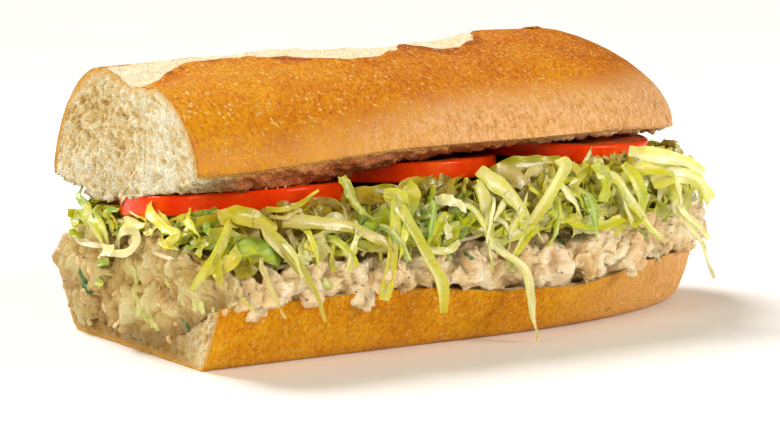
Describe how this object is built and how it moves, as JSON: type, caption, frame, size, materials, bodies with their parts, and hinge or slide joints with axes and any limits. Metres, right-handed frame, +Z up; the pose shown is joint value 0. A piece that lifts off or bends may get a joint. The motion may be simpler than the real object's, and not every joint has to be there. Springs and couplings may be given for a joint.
{
  "type": "submarine sandwich",
  "caption": "Tuna salad submarine sandwich: a crusty split loaf, cut straight at one end and rounded at the other, filled with tuna salad, onion, shredded lettuce and tomato.",
  "frame": {"origin": "middle of the underside: the centre of the bounding box in plan, on the surface the sandwich rests on", "axes": "+X along the loaf from the cut end to the rounded end, -Y to the front with the long lettuce shreds, +Z up through the layers"},
  "size_m": [0.1916, 0.105, 0.0781],
  "materials": {
    "bread": "baked crust with a slight sheen over pale porous crumb",
    "tuna_salad": "moist, lumpy, dressed with mayonnaise",
    "onion": "moist and slightly translucent",
    "lettuce": "crisp, moist, pale at the ribs",
    "tomato": "wet, glossy skin and flesh"
  },
  "bodies": {
    "root": {"bread_bottom": "bread", "tuna_salad": "tuna_salad", "onion_1": "onion", "onion_2": "onion", "onion_3": "onion", "onion_4": "onion", "lettuce": "lettuce", "tomato_1": "tomato", "tomato_2": "tomato", "tomato_3": "tomato", "bread_top": "bread"}
  },
  "joints": []
}
